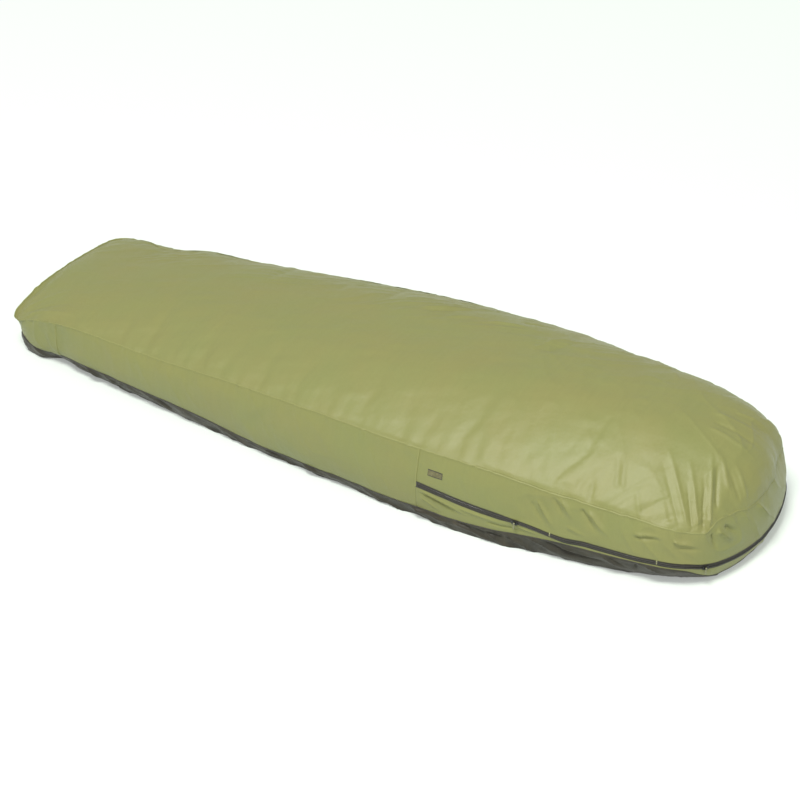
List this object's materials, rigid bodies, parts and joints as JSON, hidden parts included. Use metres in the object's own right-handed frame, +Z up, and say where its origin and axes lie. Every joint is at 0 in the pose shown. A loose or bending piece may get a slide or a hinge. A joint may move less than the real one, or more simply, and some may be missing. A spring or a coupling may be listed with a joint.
{
  "type": "bivy sack",
  "caption": "Full-length hooded bivy sack: tapered waterproof cloth bag with boxed foot, tub floor and a two-slider zip around the fold-back hood.",
  "frame": {"origin": "on the ground at the middle of the sack's footprint", "axes": "+X to the head end, +Y to the side away from the label, +Z up"},
  "size_m": [2.303, 0.7596, 0.3235],
  "materials": {
    "shell_cloth": "olive green coated ripstop nylon with a silky sheen",
    "floor_cloth": "dark grey coated nylon, creased",
    "zip_tape": "black coated zip tape",
    "zip_coil": "black nylon coil",
    "seam_binding": "olive folded seam with a paler edge",
    "dark_binding": "dark woven edge",
    "seam_tape": "translucent heat-sealed tape",
    "label": "plain woven label",
    "thread": "pale polyester stitches",
    "slider_metal": "black enamelled die-cast slider",
    "puller_tab": "pale moulded tab"
  },
  "bodies": {
    "sack": {"floor_sheet": "floor_cloth", "tub_rim_foot": "floor_cloth", "tub_rim_near": "floor_cloth", "tub_rim_far": "floor_cloth", "tub_rim_head": "floor_cloth", "foot_panel": "shell_cloth", "side_wall_near": "shell_cloth", "side_wall_far": "shell_cloth", "top_panel": "shell_cloth", "fold_band": "shell_cloth", "lower_zip_wall": "shell_cloth", "lower_zip_tape": "zip_tape", "lower_zip_coil": "zip_coil", "zip_end_patch_near": "shell_cloth", "zip_end_patch_far": "shell_cloth", "top_seam_foot": "seam_binding", "top_seam_near": "seam_binding", "top_seam_far": "seam_binding", "foot_corner_seam_near": "seam_binding", "foot_corner_seam_far": "seam_binding", "riser_seam_near": "seam_binding", "riser_seam_far": "seam_binding", "floor_binding": "dark_binding", "floor_seam_tape": "seam_tape", "top_seam_tape_near": "seam_tape", "top_seam_tape_far": "seam_tape"},
    "hood": {"hood_top": "shell_cloth", "hood_wall": "shell_cloth", "hood_seam": "seam_binding", "hood_seam_tape": "seam_tape", "upper_zip_tape": "zip_tape", "upper_zip_coil": "zip_coil", "hood_riser_seam_near": "seam_binding", "hood_riser_seam_far": "seam_binding", "zip_baffle": "shell_cloth", "label_patch": "label", "label_border": "dark_binding", "bar_tacks": "thread"},
    "side_slider": {"side_slider": "slider_metal"},
    "side_puller": {"side_puller": "puller_tab"},
    "head_slider": {"head_slider": "slider_metal"},
    "head_puller": {"head_puller": "puller_tab"}
  },
  "joints": [
    {"name": "hood_fold", "type": "hinge", "parent": "sack", "child": "hood", "pos_m": [0.32, 0, 0.106], "axis": [0, -1, 0], "range_deg": [0, 90], "deforming": ["fold_band"]},
    {"name": "side_slide", "type": "hinge", "parent": "sack", "child": "side_slider", "pos_m": [0.21903, 3.40566, 0.112], "axis": [0.0593, 0, 0.9982], "range_deg": [-4, 5]},
    {"name": "side_pull", "type": "hinge", "parent": "side_slider", "child": "side_puller", "pos_m": [0.60875, -0.36555, 0.08885], "axis": [-0.993, -0.1028, 0.059], "range_deg": [0, 150]},
    {"name": "head_slide", "type": "hinge", "parent": "sack", "child": "head_slider", "pos_m": [0.94879, -0.1244, 0.06864], "axis": [0.0593, 0, 0.9982], "range_deg": [-36, 16]},
    {"name": "head_pull", "type": "hinge", "parent": "head_slider", "child": "head_puller", "pos_m": [1.09461, -0.24081, 0.05998], "axis": [-0.6228, -0.7815, 0.037], "range_deg": [0, 150]}
  ]
}
